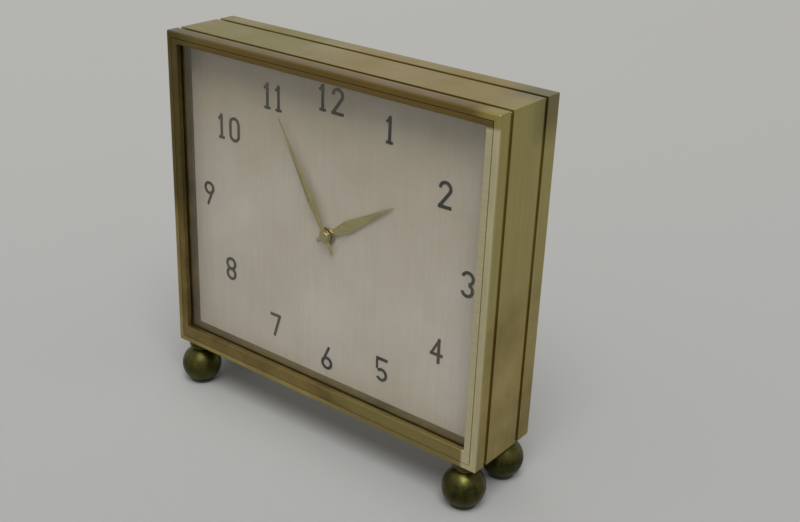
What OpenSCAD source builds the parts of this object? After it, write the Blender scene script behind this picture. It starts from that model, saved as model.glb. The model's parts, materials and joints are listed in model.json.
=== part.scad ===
// Brass desk clock with a wound lever movement.
// +Z is up, the dial faces -Y, and the origin is under the middle of the clock where it stands.
// Movement outlines are drawn as seen from the front, with the dial's centre at 0,0.
// Depths are measured backwards from the front of the case.

/* [Case] */
// Width of the case band
case_w = 115; // [96:1:120]
// Height of the case band without feet
case_h = 100; // [88:0.5:110]
// Depth of the case band
case_d = 27; // [26.5:0.5:34]
// Wall of the case band
wall = 1.8; // [1.4:0.1:2.2]
// Chamfer along the outer edges of the case band
edge_chamfer = 0.5; // [0.2:0.1:0.8]
// Width of the two grooves that run round the case
groove_w = 1.4; // [0.8:0.1:2]
// Depth of the two grooves that run round the case
groove_cut = 0.7; // [0.4:0.1:0.9]
// Distance from the front of the case to the first groove
front_groove = 4.4; // [3.6:0.1:5]
// Distance from the back of the case to the second groove
rear_groove = 5.6; // [4:0.1:7]

/* [Bezel and glass] */
// Brass seen at the left and right of the dial
side_bar = 4; // [3.9:0.1:6]
// Brass seen above the dial
top_bar = 3.5; // [3.5:0.1:6]
// Brass seen below the dial
bottom_bar = 5.6; // [4.6:0.1:7]
// Lip of the bezel in front of the glass
lip_t = 1.6; // [1.2:0.1:2]
// Width of the rebate that holds the glass
rebate_w = 0.9; // [0.6:0.1:1]
// Thickness of the glass
glass_t = 1.8; // [1.2:0.1:2]
// Depth of the frame between the glass and the dial
spacer_t = 3.2; // [2.5:0.1:4]

/* [Dial] */
// Thickness of the dial sheet
dial_t = 0.5; // [0.3:0.1:0.8]
// Thickness of the plate behind the dial
dial_plate_t = 1; // [0.8:0.1:1.4]
// Height of a numeral
num_h = 7.6; // [4:0.1:8.4]
// Stroke of a numeral
num_stroke = 0.95; // [0.6:0.05:1.2]
// Relief of the numerals
num_relief = 0.15; // [0.1:0.05:0.3]
// Gap between the numerals and the left or right edge of the dial
num_side_gap = 3.8; // [0.5:0.1:5]
// Gap between the numerals and the top or bottom edge of the dial
num_top_gap = 2.4; // [0.3:0.1:3]

/* [Hands] */
// Length of the minute hand from its centre
minute_len = 35.5; // [24:0.5:38]
// Length of the hour hand from its centre
hour_len = 27.5; // [16:0.5:29]
// Widest place of the minute hand
minute_w = 2.7; // [1.6:0.1:3.2]
// Widest place of the hour hand
hour_w = 3.6; // [2:0.1:4.4]
// Thickness of a hand
hand_t = 0.4; // [0.3:0.05:0.5]
// Hour that the hands show
shown_hour = 1; // [0:1:11]
// Minute that the hands show
shown_minute = 55; // [0:1:59]

/* [Feet] */
// Diameter of a ball foot
foot_d = 12.4; // [9:0.1:13]
// Distance from a foot's middle to the left or right side of the case
foot_side = 5.6; // [3.8:0.1:7]
// Distance from a foot's middle to the front or back of the case
foot_inset = 4; // [3.8:0.1:5]
// Diameter of the collar above the ball
collar_d = 7.4; // [6:0.1:7.6]
// Height of the collar above the ball
collar_t = 1.4; // [1:0.1:2]
// Neck between the collar and the ball
neck_d = 5; // [4.2:0.1:6]
// Height of the feet from the table to the case
foot_h = 14; // [11:0.5:16]
// Thickness of the felt under a foot
felt_t = 0.6; // [0.4:0.1:1]
// Diameter of the stud that holds a foot
stud_d = 2.6; // [2:0.1:3]

/* [Rear] */
// Bars of the frame that carries the back cover
rear_bar = 2.6; // [2.4:0.1:4]
// Depth of the frame that carries the back cover
rear_frame_t = 6; // [5:0.1:7]
// Thickness of the back cover
cover_t = 1.2; // [0.8:0.1:1.6]
// How far the back cover lies inside the case
cover_inset = 0.7; // [0.3:0.1:1]
// Diameter of the setting knob
knob_d = 9; // [6:0.5:12]
// Thickness of the setting knob
knob_t = 4; // [3:0.5:6]
// Width across the wings of the winding key
key_w = 16; // [12:0.5:20]
// Height of the key's wings along its axis
key_l = 4.6; // [3:0.1:6]

/* [Movement] */
// Thickness of a movement plate
plate_t = 1.2; // [1:0.1:1.4]
// Space behind the movement for the ratchet wheel and the balance cock
rear_room = 3.2; // [3.2:0.1:3.6]
// Space for the motion work behind the dial plate
motion_gap = 2.5; // [2.5:0.1:3]
// Diameter of a movement pillar
pillar_d = 4; // [3:0.1:5]
// Diameter of the pivots of the train
pivot_d = 0.9; // [0.7:0.05:1.1]
// Radial clearance of a pivot in its hole
pivot_clear = 0.08; // [0.05:0.01:0.1]
// Tooth module of the barrel and the pinion that it drives
barrel_m = 0.4; // [0.39:0.005:0.41]
// Teeth of the barrel
barrel_n = 84; // [82:1:86]
// Across position of the barrel
barrel_x = -20; // [-21:0.5:-19.5]
// Upward position of the barrel
barrel_z = -3; // [-4:0.5:-2]
// Diameter of the balance
balance_d = 16; // [14:0.5:16.5]
// Turns of the hairspring
hairspring_turns = 5; // [4:1:6]
// Turns of the mainspring
mainspring_turns = 8; // [5:1:9]
// Teeth of the ratchet wheel
ratchet_n = 24; // [18:6:30]

/* [Hidden] */
$fn = 48;

// Clearances
fit = 0.1;
slide_clear = 0.05;
air = 0.2;
eps = 0.01;

// Depths from the front of the case, in the order of the stack
glass_at = lip_t;
spacer_at = glass_at + glass_t;
dial_at = spacer_at + spacer_t;
dial_plate_at = dial_at + dial_t;
dial_plate_end = dial_plate_at + dial_plate_t;
front_plate_at = dial_plate_end + motion_gap;
front_plate_end = front_plate_at + plate_t;
cover_end = case_d - cover_inset;
cover_at = cover_end - cover_t;
back_plate_end = cover_at - rear_room;
back_plate_at = back_plate_end - plate_t;
plate_gap = back_plate_at - front_plate_end;
cover_screw_l = 3;
rear_frame_at = cover_at - rear_frame_t;
second_groove = case_d - rear_groove - groove_w;

// Winding key and knob, which stand out behind the case
key_gap = 0.5;
key_hub_t = 2;
key_at = case_d + key_gap;
key_end = key_at + key_hub_t + key_l;
knob_at = case_d + key_gap;
back_reach = max(key_end, knob_at + knob_t);

// Place of the whole, whose front feet stand a little in front of the case
front_reach = foot_d / 2 - foot_inset;
front_y = (front_reach - back_reach) / 2;
dial_rise = (bottom_bar - top_bar) / 2;
dial_z = foot_h + case_h / 2 + dial_rise;

// Dial opening and numeral ring
open_w = case_w - 2 * side_bar;
open_h = case_h - top_bar - bottom_bar;
inner_w = case_w - 2 * wall;
inner_h = case_h - 2 * wall;
num_w = 0.56 * num_h;
ring_x = open_w / 2 - num_side_gap - num_w / 2;
ring_z = open_h / 2 - num_top_gap - num_h / 2;

// Feet and the studs that hold the bezel and the rear frame
stud_depth = 1.6;
foot_x = case_w / 2 - foot_side;

// Levels and thicknesses between the plates, which share out the space from the front plate on
storey = plate_gap / 90;
inter_level = 5 * storey;
inter_t = 6 * storey;
third_level = 17 * storey;
third_t = 6 * storey;
barrel_level = 18 * storey;
barrel_rim_t = 10 * storey;
drum_floor = 8 * storey;
drum_h = 52 * storey;
lid_t = 6 * storey;
escape_level = 33 * storey;
escape_t = 4 * storey;
balance_level = 46 * storey;
balance_t = 8 * storey;
fourth_level = 58 * storey;
fourth_t = 4 * storey;
hairspring_level = 69 * storey;
hairspring_t = 5 * storey;
centre_level = 78 * storey;
centre_t = 5 * storey;
pinion_over = 3 * storey;

// Tooth numbers and modules of the train
inter_pinion_n = 14;
inter_n = 56;
inter_m = 0.35;
centre_pinion_n = 14;
centre_n = 72;
centre_m = 0.28;
third_pinion_n = 9;
third_n = 75;
third_m = 0.24;
fourth_pinion_n = 10;
fourth_n = 80;
fourth_m = 0.2;
escape_pinion_n = 8;
escape_n = 15;
escape_r = 4.5;

// Motion work: cannon pinion, minute wheel and hour wheel
cannon_n = 12;
minute_n = 36;
minute_m = 0.375;
minute_pinion_n = 10;
hour_n = 40;
hour_m = 0.36;
set_n = 12;

// Places of the arbors, seen from the front
function pitch_sum(n1, n2, m) = (n1 + n2) * m / 2;
function polar(p, r, a) = p + r * [cos(a), sin(a)];
function direction(p, q) = atan2(q[1] - p[1], q[0] - p[0]);
function meet(p, q, rp, rq) =
    let (d = norm(q - p), a = acos((d * d + rp * rp - rq * rq) / (2 * d * rp)))
    polar(p, rp, direction(p, q) - a);
centre = [0, 0];
barrel_p = [barrel_x, barrel_z];
inter_p = meet(barrel_p, centre, pitch_sum(barrel_n, inter_pinion_n, barrel_m),
    pitch_sum(inter_n, centre_pinion_n, inter_m));
third_p = polar(centre, pitch_sum(centre_n, third_pinion_n, centre_m), 40);
fourth_p = polar(third_p, pitch_sum(third_n, fourth_pinion_n, third_m), -60);
escape_p = polar(fourth_p, pitch_sum(fourth_n, escape_pinion_n, fourth_m), -70);
lever_angle = -100;
lever_hub_r = 0.9;
lever_reach = escape_r + lever_hub_r + air;
lever_p = polar(escape_p, lever_reach, lever_angle);
fork_reach = 9.3;
balance_p = polar(lever_p, fork_reach, lever_angle);
minute_p = polar(centre, pitch_sum(cannon_n, minute_n, minute_m), 100);
set_p = polar(minute_p, pitch_sum(minute_n, set_n, minute_m), 80);

// Movement plate and what fastens it
plate_left = barrel_x - 20;
plate_right = 27;
plate_top = 24;
plate_bottom = balance_p[1] - balance_d / 2 - 1.6;
plate_corner = 3;
pillar_places = [[plate_left + 3.6, plate_top - 4], [plate_right - 3.6, plate_top - 4],
    [plate_left + 3.6, plate_bottom + 4], [plate_right - 2.6, plate_bottom + 2.8]];
post_places = [[plate_left + 9.6, plate_top - 4], [plate_right - 3, 7],
    [plate_left + 9.6, plate_bottom + 4], [-1, plate_bottom + 4]];
post_d = 3.4;
screw_d = 1.5;
screw_head_d = 3;
screw_head_t = 0.8;
small_screw_d = 1.2;
small_head_d = 2.2;
slot_w = 0.4;
slot_cut = 0.35;

// Arbors
pivot_r = pivot_d / 2;
pivot_hole_r = pivot_r + pivot_clear;
arbor_r = 0.55;
centre_arbor_r = 1.2;
inter_arbor_r = 0.9;
centre_front_r = 0.6;
cannon_bore_r = centre_front_r + pivot_clear;
cannon_r = 1.05;
hour_bore_r = cannon_r + pivot_clear;
hour_pipe_r = 1.65;
dial_hole_r = hour_pipe_r + 0.4;
set_r = 0.9;
end_shake = 0.1;

// Barrel and winding
barrel_tip_r = barrel_n * barrel_m / 2;
drum_r = barrel_tip_r - 1.2;
drum_wall = 0.6;
barrel_arbor_r = 1.5;
barrel_pivot_r = 1.3;
hub_r = 2.6;
square_w = 1.8;
ratchet_r = 6;
ratchet_root_r = 5.2;
ratchet_t = 1;
ratchet_at = back_plate_end + air;
click_face = 90;
click_nose_gap = 2.5;
click_r = 1.4;
click_p = polar(barrel_p, 8.4, 50);
click_back = polar(barrel_p, ratchet_r + 1.1, click_face - click_nose_gap);
click_lift = 8;
spring_foot = polar(barrel_p, 11.2, 118);
mainspring_t = 0.35;
key_hub_r = 2.6;
key_t = 1.6;

// Balance, hairspring, cock and regulator
staff_r = 0.5;
collet_r = 1.1;
roller_r = 1.25;
impulse_r = 1.5;
impulse_pin_r = 0.2;
hairspring_in = collet_r + 0.35;
hairspring_out = 5.1;
hairspring_w = 0.16;
curb_angle = -90;
curb_swing = 14;
hairspring_end = curb_angle + 60;
plate_window_r = 6.6;
cock_w = 5;
cock_l = 2 * plate_window_r + 7;
cock_t = 1.2;
cock_at = back_plate_end;
cock_boss_r = 2.2;
cock_boss_t = 0.7;
regulator_at = cock_at + cock_t + slide_clear;
regulator_t = 0.5;
regulator_r = 3.4;
regulator_len = 9;
regulator_slot_w = 1.8;
tab_w = 1;

// Back cover openings
key_hole_r = 3.2;
knob_hole_r = 1.7;

// Rest angles of the hands, clockwise from twelve
minute_angle = 6 * shown_minute;
hour_angle = 30 * shown_hour + shown_minute / 2;

// Gear phases: a tooth of one wheel stands in a gap of the other
function mesh(a, n1, phase1, n2) = a + 180 - 360 / n2 * (0.5 - (a - phase1) * n1 / 360);
inter_pinion_phase = mesh(direction(barrel_p, inter_p), barrel_n, 0, inter_pinion_n);
centre_pinion_phase = mesh(direction(inter_p, centre), inter_n, 0, centre_pinion_n);
third_pinion_phase = mesh(direction(centre, third_p), centre_n, 0, third_pinion_n);
fourth_pinion_phase = mesh(direction(third_p, fourth_p), third_n, 0, fourth_pinion_n);
escape_pinion_phase = mesh(direction(fourth_p, escape_p), fourth_n, 0, escape_pinion_n);
cannon_phase = mesh(direction(minute_p, centre), minute_n, 0, cannon_n);
set_phase = mesh(direction(minute_p, set_p), minute_n, 0, set_n);
minute_pinion_phase = mesh(direction(centre, minute_p), hour_n, 0, minute_pinion_n);

// A front-view outline as a slab that starts at depth d
module slab(d, t) {
    translate([0, front_y + d + t, dial_z])
        rotate([90, 0, 0])
            linear_extrude(t)
                children();
}

// A round bar along the depth, from depth d0 to d1
module bar(p, d0, d1, r) {
    slab(d0, d1 - d0)
        translate(p)
            circle(r);
}

module rect(w, h) {
    translate([-w / 2, -h / 2])
        square([w, h]);
}

// A rectangle about the middle of the case instead of the dial's centre
module case_rect(w, h) {
    translate([0, -dial_rise])
        rect(w, h);
}

// A straight stroke between two points
module stroke(p, q, w) {
    n = [p[1] - q[1], q[0] - p[0]] / norm(q - p) * w / 2;
    polygon([p + n, p - n, q - n, q + n]);
}

// A ring, or the part of it between two angles
module arc_stroke(p, r, from, to, w) {
    step = (to - from) / 8;
    translate(p)
        intersection() {
            difference() {
                circle(r + w / 2);
                circle(r - w / 2);
            }
            polygon(concat([[0, 0]], [for (i = [0 : 8]) polar([0, 0], 2 * r + w, from + i * step)]));
        }
}

// Teeth with straight flanks, slim enough to run with backlash
function tooth(r, share, m, a) = polar([0, 0], r, a + share * 90 * m / r);
module teeth(n, m, add, ded, tip, root) {
    r = n * m / 2;
    polygon([for (i = [0 : n - 1]) let (a = 360 / n * i) each [
        tooth(r - ded * m, -root, m, a), tooth(r + add * m, -tip, m, a),
        tooth(r + add * m, tip, m, a), tooth(r - ded * m, root, m, a)]]);
}

module wheel_outline(n, m, phase = 0) {
    rotate(phase)
        teeth(n, m, 0.85, 1.05, 0.24, 0.54);
}

module pinion_outline(n, m, phase) {
    rotate(phase)
        teeth(n, m, 0.7, 1.15, 0.22, 0.4);
}

// Windows between the arms of a crossed-out wheel
module crossings(r_hub, r_rim, arms, arm_w) {
    difference() {
        circle(r_rim);
        circle(r_hub);
        for (i = [0 : arms - 1])
            rotate(360 / arms * i)
                translate([0, -arm_w / 2])
                    square([r_rim + eps, arm_w]);
    }
}

module crossed_wheel(n, m, r_hub, arms, arm_w) {
    difference() {
        wheel_outline(n, m);
        crossings(r_hub, n * m / 2 - 4 * m, arms, arm_w);
    }
}

// A slotted screw whose head lies on depth d, with its shank towards the front or the back
module screw(p, d, towards, head_d, shank_d, shank_l) {
    head_at = towards > 0 ? d - screw_head_t : d;
    slot_at = towards > 0 ? head_at - eps : d + screw_head_t - slot_cut;
    difference() {
        bar(p, head_at, head_at + screw_head_t, head_d / 2);
        slab(slot_at, slot_cut + eps)
            translate(p)
                rotate(35)
                    rect(head_d + 1, slot_w);
    }
    if (towards > 0)
        bar(p, d, d + shank_l, shank_d / 2);
    else
        bar(p, d - shank_l, d, shank_d / 2);
}

// Case band: tube with two grooves round it and chamfered edges
module edge_cut(at_depth) {
    side = edge_chamfer * sqrt(2);
    middle_z = foot_h + case_h / 2;
    for (s = [-1, 1]) {
        translate([s * case_w / 2, front_y + at_depth, middle_z])
            rotate([0, 0, 45])
                cube([side, side, case_h + 2], center = true);
        translate([0, front_y + at_depth, middle_z + s * case_h / 2])
            rotate([45, 0, 0])
                cube([case_w + 2, side, side], center = true);
    }
}

module case_band() {
    color("#a8935a")
        difference() {
            slab(0, case_d)
                case_rect(case_w, case_h);
            slab(-1, case_d + 2)
                case_rect(inner_w, inner_h);
            for (d = [front_groove, second_groove])
                slab(d, groove_w)
                    difference() {
                        case_rect(case_w + 2, case_h + 2);
                        case_rect(case_w - 2 * groove_cut, case_h - 2 * groove_cut);
                    }
            edge_cut(0);
            edge_cut(case_d);
            for (s = [-1, 1], d = [foot_inset, case_d - foot_inset])
                translate([s * foot_x, front_y + d, foot_h - 1])
                    cylinder(d = stud_d + fit, h = wall + 2);
        }
}

// Blind holes for the foot studs in the bezel and the rear frame
module stud_holes(d) {
    for (s = [-1, 1])
        translate([s * foot_x, front_y + d, foot_h + wall - 1])
            cylinder(d = stud_d + fit, h = stud_depth + 1 + fit);
}

module front_bezel() {
    color("#b9a76c")
        difference() {
            slab(0, dial_plate_at)
                case_rect(inner_w - 2 * fit, inner_h - 2 * fit);
            slab(-1, dial_plate_at + 2)
                rect(open_w, open_h);
            slab(lip_t, dial_plate_at)
                rect(open_w + 2 * rebate_w, open_h + 2 * rebate_w);
            stud_holes(foot_inset);
        }
}

module in_rebate() {
    rect(open_w + 2 * rebate_w - 2 * slide_clear, open_h + 2 * rebate_w - 2 * slide_clear);
}

module crystal() {
    color("#c9d6d8", 0.35)
        slab(glass_at, glass_t)
            in_rebate();
}

module inner_frame() {
    color("#a8935a")
        slab(spacer_at, spacer_t)
            difference() {
                in_rebate();
                rect(open_w, open_h);
            }
}

module dial() {
    color("#cfccbf")
        slab(dial_at, dial_t)
            difference() {
                in_rebate();
                circle(dial_hole_r);
            }
}

// Plain upright figures, drawn with strokes in a box num_w by num_h about 0,0
module figure(n) {
    w = num_w / 2 - num_stroke / 2;
    h = num_h / 2 - num_stroke / 2;
    s = num_stroke;
    half = s / 2;
    bowl = min(w, h / 2);
    if (n == 0) {
        for (x = [-w, w])
            stroke([x, -h + w], [x, h - w], s);
        arc_stroke([0, h - w], w, 0, 180, s);
        arc_stroke([0, w - h], w, 180, 360, s);
    }
    if (n == 1) {
        stroke([0, -h - half], [0, h + half], s);
        stroke([-w * 0.7, h * 0.62], [0, h], s * 0.8);
        stroke([-w * 0.7, -h], [w * 0.7, -h], s * 0.8);
    }
    if (n == 2) {
        arc_stroke([0, h - w], w, -25, 180, s);
        stroke([w * 0.9, h - w * 1.42], [-w, -h], s);
        stroke([-w - half, -h], [w + half, -h], s);
    }
    if (n == 3) {
        arc_stroke([0, h - bowl], bowl, -80, 165, s);
        arc_stroke([0, bowl - h], bowl, -165, 80, s);
    }
    if (n == 4) {
        stroke([w * 0.45, -h - half], [w * 0.45, h + half], s);
        stroke([-w - half, -h * 0.35], [w + half, -h * 0.35], s);
        stroke([w * 0.45, h], [-w, -h * 0.35], s * 0.8);
    }
    if (n == 5) {
        stroke([-w, h], [w + half, h], s);
        stroke([-w, h + half], [-w, -h * 0.02], s * 0.8);
        arc_stroke([0, w - h], w, -150, 140, s);
    }
    if (n == 6) {
        arc_stroke([0, w - h], w, 0, 360, s);
        stroke([-w, w - h], [w * 0.5, h + half], s * 0.9);
    }
    if (n == 7) {
        stroke([-w - half, h], [w + half, h], s);
        stroke([w, h], [-w * 0.35, -h - half], s);
    }
    if (n == 8) {
        arc_stroke([0, h - bowl], bowl, 0, 360, s);
        arc_stroke([0, bowl - h], bowl, 0, 360, s);
    }
    if (n == 9)
        rotate(180)
            figure(6);
}

module hour_figure(n) {
    pair_step = num_w * 0.62;
    if (n < 10) {
        figure(n);
    } else {
        translate([-pair_step, 0])
            figure(1);
        translate([n == 11 ? pair_step * 0.6 : pair_step, 0])
            figure(n - 10);
    }
}

function ring_r(a) = 1 / sqrt(pow(cos(a) / ring_x, 2) + pow(sin(a) / ring_z, 2));

module numerals() {
    color("#3f3b33")
        slab(dial_at - num_relief, num_relief)
            for (n = [1 : 12])
                translate(polar([0, 0], ring_r(90 - 30 * n), 90 - 30 * n))
                    hour_figure(n);
}

module dial_plate() {
    color("#a08b55")
        slab(dial_plate_at, dial_plate_t)
            difference() {
                case_rect(inner_w - 4 * fit, inner_h - 4 * fit);
                circle(dial_hole_r);
            }
}

module rear_opening() {
    case_rect(inner_w - 2 * fit - 2 * rear_bar, inner_h - 2 * fit - 2 * rear_bar);
}

// The cover's screws and the posts in line with them, along the side bars and clear of the feet
corner_drop = 6;
corner_x = inner_w / 2 - fit - rear_bar / 2;
corner_z = inner_h / 2 - fit - rear_bar / 2 - corner_drop;
corners = [for (sx = [-1, 1], sz = [-1, 1]) [sx * corner_x, sz * corner_z - dial_rise]];

module rear_frame() {
    color("#a8935a")
        difference() {
            slab(rear_frame_at, rear_frame_t)
                difference() {
                    case_rect(inner_w - 2 * fit, inner_h - 2 * fit);
                    rear_opening();
                }
            stud_holes(case_d - foot_inset);
            for (p = corners)
                bar(p, cover_at - cover_screw_l - fit, cover_at + 1, small_screw_d / 2 + slide_clear);
        }
}

module spacer_posts() {
    color("#b0b0a8")
        for (p = corners)
            bar(p, dial_plate_end, rear_frame_at, rear_bar / 2 - fit);
}

module back_cover() {
    color("#a8935a")
        difference() {
            slab(cover_at, cover_t)
                case_rect(inner_w - 4 * fit, inner_h - 4 * fit);
            bar(barrel_p, cover_at - 1, cover_end + 1, key_hole_r);
            bar(set_p, cover_at - 1, cover_end + 1, knob_hole_r);
            for (p = corners)
                bar(p, cover_at - 1, cover_end + 1, small_screw_d / 2 + slide_clear);
            slab(cover_at - 1, cover_t + 2)
                arc_stroke(balance_p, regulator_len, 90 - 20, 90 + 20, regulator_slot_w);
        }
}

module back_cover_screws() {
    color("#8f8f88")
        for (p = corners)
            screw(p, cover_end, -1, small_head_d, small_screw_d, cover_t + cover_screw_l);
}

// Ball foot, turned in one piece with its collar and stud
module foot(side, d) {
    ball_z = felt_t + foot_d * 0.42;
    color("#6f6040")
        translate([side * foot_x, front_y + d, 0]) {
            rotate_extrude()
                intersection() {
                    union() {
                        translate([0, ball_z])
                            circle(foot_d / 2);
                        translate([0, ball_z])
                            square([neck_d / 2, foot_h - ball_z]);
                        translate([0, foot_h - collar_t])
                            square([collar_d / 2, collar_t]);
                    }
                    translate([0, felt_t])
                        square([foot_d, foot_h - felt_t]);
                }
            translate([0, 0, foot_h - collar_t / 2])
                cylinder(d = stud_d, h = collar_t / 2 + wall + stud_depth);
        }
}

module foot_felts() {
    color("#3b3a36")
        for (s = [-1, 1], d = [foot_inset, case_d - foot_inset])
            translate([s * foot_x, front_y + d, 0])
                cylinder(d = foot_d * 0.62, h = felt_t);
}

module plate_outline() {
    difference() {
        translate([plate_left, plate_bottom])
            square([plate_right - plate_left, plate_top - plate_bottom]);
        for (x = [plate_left, plate_right], z = [plate_bottom, plate_top])
            translate([x, z])
                rotate(45)
                    rect(plate_corner, plate_corner);
    }
}

module fixing_holes(places, r) {
    for (p = places)
        translate(p)
            circle(r);
}

train = [inter_p, third_p, fourth_p, escape_p, lever_p];

module front_plate() {
    color("#b9a76c")
        slab(front_plate_at, plate_t)
            difference() {
                plate_outline();
                fixing_holes(concat(train, [balance_p]), pivot_hole_r);
                fixing_holes([centre], centre_front_r + pivot_clear);
                fixing_holes([barrel_p], barrel_pivot_r + pivot_clear);
                fixing_holes([set_p], set_r + pivot_clear);
                fixing_holes(pillar_places, screw_d / 2 + slide_clear);
                fixing_holes(post_places, screw_d / 2 + slide_clear);
            }
}

module back_plate() {
    color("#b9a76c")
        slab(back_plate_at, plate_t)
            difference() {
                plate_outline();
                fixing_holes(concat(train, [centre]), pivot_hole_r);
                fixing_holes([barrel_p], barrel_pivot_r + pivot_clear);
                fixing_holes([set_p], set_r + pivot_clear);
                fixing_holes(pillar_places, screw_d / 2 + slide_clear);
                fixing_holes([balance_p], plate_window_r);
                fixing_holes([click_p], small_screw_d / 2 + slide_clear);
                fixing_holes([spring_foot], small_screw_d / 2 + slide_clear);
                fixing_holes(cock_screw_places, small_screw_d / 2 + slide_clear);
            }
}

pillar_bore_l = plate_gap / 3;

module pillars() {
    color("#b9a76c")
        for (p = pillar_places)
            difference() {
                bar(p, front_plate_end, back_plate_at, pillar_d / 2);
                bar(p, front_plate_end - 1, front_plate_end + pillar_bore_l, screw_d / 2 + slide_clear);
                bar(p, back_plate_at - pillar_bore_l, back_plate_at + 1, screw_d / 2 + slide_clear);
            }
}

module plate_screws() {
    color("#5d6a86")
        for (p = pillar_places) {
            screw(p, front_plate_at, 1, screw_head_d, screw_d, plate_t + pillar_bore_l - air);
            screw(p, back_plate_end, -1, screw_head_d, screw_d, plate_t + pillar_bore_l - air);
        }
}

module movement_posts() {
    color("#b0b0a8")
        for (p = post_places)
            difference() {
                bar(p, dial_plate_end, front_plate_at, post_d / 2);
                bar(p, dial_plate_end + air, front_plate_at + 1, screw_d / 2 + slide_clear);
            }
}

module movement_screws() {
    color("#5d6a86")
        for (p = post_places)
            screw(p, front_plate_end, -1, screw_head_d, screw_d, plate_t + motion_gap - 2 * air);
}

// Barrel: toothed drum open to the back, its lid and the spring inside
barrel_at = front_plate_end + barrel_level;
drum_end = barrel_at + drum_h;

module barrel() {
    color("#b9a76c")
        difference() {
            union() {
                slab(barrel_at, barrel_rim_t)
                    translate(barrel_p)
                        wheel_outline(barrel_n, barrel_m);
                bar(barrel_p, barrel_at, drum_end, drum_r);
            }
            bar(barrel_p, barrel_at + drum_floor, drum_end + 1, drum_r - drum_wall);
            bar(barrel_p, barrel_at - 1, drum_end, barrel_arbor_r + pivot_clear);
        }
}

module barrel_lid() {
    color("#b9a76c")
        slab(drum_end - lid_t, lid_t)
            translate(barrel_p)
                difference() {
                    circle(drum_r - drum_wall - slide_clear);
                    circle(barrel_arbor_r + pivot_clear);
                }
}

// A flat spiral strip as one outline, whose last steps keep the outer radius
module spiral(r_in, r_out, turns, w, per_turn, start = 0, last = 0) {
    steps = turns * per_turn;
    function line(i) = min(r_out, r_in + (r_out - r_in) * i / steps);
    function point(i, side) = polar([0, 0], line(i) + side * w / 2, start + 360 * i / per_turn);
    polygon(concat([for (i = [0 : steps + last]) point(i, 1)],
        [for (i = [steps + last : -1 : 0]) point(i, -1)]));
}

module mainspring() {
    spring_at = barrel_at + drum_floor + end_shake;
    color("#6a7078")
        slab(spring_at, drum_end - lid_t - end_shake - spring_at)
            translate(barrel_p)
                spiral(hub_r + 0.5, drum_r - drum_wall - mainspring_t, mainspring_turns,
                    mainspring_t, 24);
}

module barrel_arbor() {
    hub_at = barrel_at + drum_floor + end_shake;
    color("#9a9a94") {
        bar(barrel_p, front_plate_at + end_shake, front_plate_end + end_shake, barrel_pivot_r);
        bar(barrel_p, front_plate_end + end_shake, back_plate_at - end_shake, barrel_arbor_r);
        bar(barrel_p, hub_at, drum_end - lid_t - end_shake, hub_r);
        bar(barrel_p, back_plate_at - end_shake, ratchet_at - end_shake, barrel_pivot_r);
        slab(ratchet_at - end_shake, key_at + key_hub_t - ratchet_at)
            translate(barrel_p)
                rect(square_w, square_w);
    }
}

module square_hole() {
    rect(square_w + fit, square_w + fit);
}

module ratchet_wheel() {
    step = 360 / ratchet_n;
    color("#9a9a94")
        slab(ratchet_at, ratchet_t)
            translate(barrel_p)
                difference() {
                    rotate(click_face)
                        polygon([for (i = [0 : ratchet_n - 1]) each [
                            polar([0, 0], ratchet_r, step * i),
                            polar([0, 0], ratchet_root_r, step * (i + 1))]]);
                    square_hole();
                }
}

// Collar pressed on the square, which keeps the ratchet wheel on
module ratchet_collar() {
    color("#9a9a94")
        slab(ratchet_at + ratchet_t + slide_clear, 0.8)
            translate(barrel_p)
                difference() {
                    circle(2.2);
                    square_hole();
                }
}

module winding_key() {
    wing_x = key_w / 2 - key_t;
    color("#a8935a")
        difference() {
            union() {
                bar(barrel_p, key_at, key_end - key_l / 3, key_hub_r);
                slab(key_at + key_hub_t, key_l)
                    translate(barrel_p)
                        rotate(-20) {
                            rect(2 * wing_x, key_t);
                            for (s = [-1, 1])
                                translate([s * wing_x, 0])
                                    circle(key_t);
                        }
            }
            slab(key_at - 1, key_hub_t + 1)
                translate(barrel_p)
                    square_hole();
        }
}

// Click: its nose lies in a tooth space of the ratchet wheel
module click() {
    face = click_face - click_nose_gap;
    step = 360 / ratchet_n;
    rise = ratchet_r - ratchet_root_r;
    function over_slope(share) = ratchet_root_r + rise * share + 0.14;
    color("#9a9a94")
        slab(ratchet_at, ratchet_t)
            difference() {
                union() {
                    polygon([polar(barrel_p, over_slope(click_nose_gap / step), face),
                        polar(barrel_p, over_slope(1), click_face - step),
                        polar(barrel_p, ratchet_r + 0.5, click_face - 26),
                        polar(click_p, click_r, 180 + 50),
                        polar(click_p, click_r, 80),
                        click_back]);
                    translate(click_p)
                        circle(click_r);
                }
                translate(click_p)
                    circle(small_screw_d / 2 + pivot_clear);
            }
}

module click_screw() {
    color("#5d6a86") {
        bar(click_p, back_plate_at + end_shake, ratchet_at + ratchet_t + end_shake, small_screw_d / 2);
        bar(click_p, ratchet_at + ratchet_t + end_shake, ratchet_at + ratchet_t + 0.7, small_head_d / 2);
    }
}

// Click spring: a strip that the lifted click just reaches
module click_spring() {
    strip_w = 0.3;
    back = click_back - click_p;
    lifted = polar(click_p, norm(back), direction([0, 0], back) - click_lift);
    touch = lifted + [0, strip_w + air];
    color("#6a7078") {
        slab(ratchet_at, ratchet_t * 0.8) {
            stroke(spring_foot, spring_foot + (touch - spring_foot) * 1.2, strip_w);
            translate(spring_foot)
                circle(1.1);
        }
        bar(spring_foot, back_plate_at + end_shake, ratchet_at + ratchet_t * 0.4, small_screw_d / 2);
    }
}

// An arbor between the plates with a pivot in each plate
module arbor(p, r) {
    bar(p, front_plate_end + end_shake, back_plate_at - end_shake, r);
    bar(p, front_plate_at + end_shake, front_plate_end + end_shake, pivot_r);
    bar(p, back_plate_at - end_shake, back_plate_end - end_shake, pivot_r);
}

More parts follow.
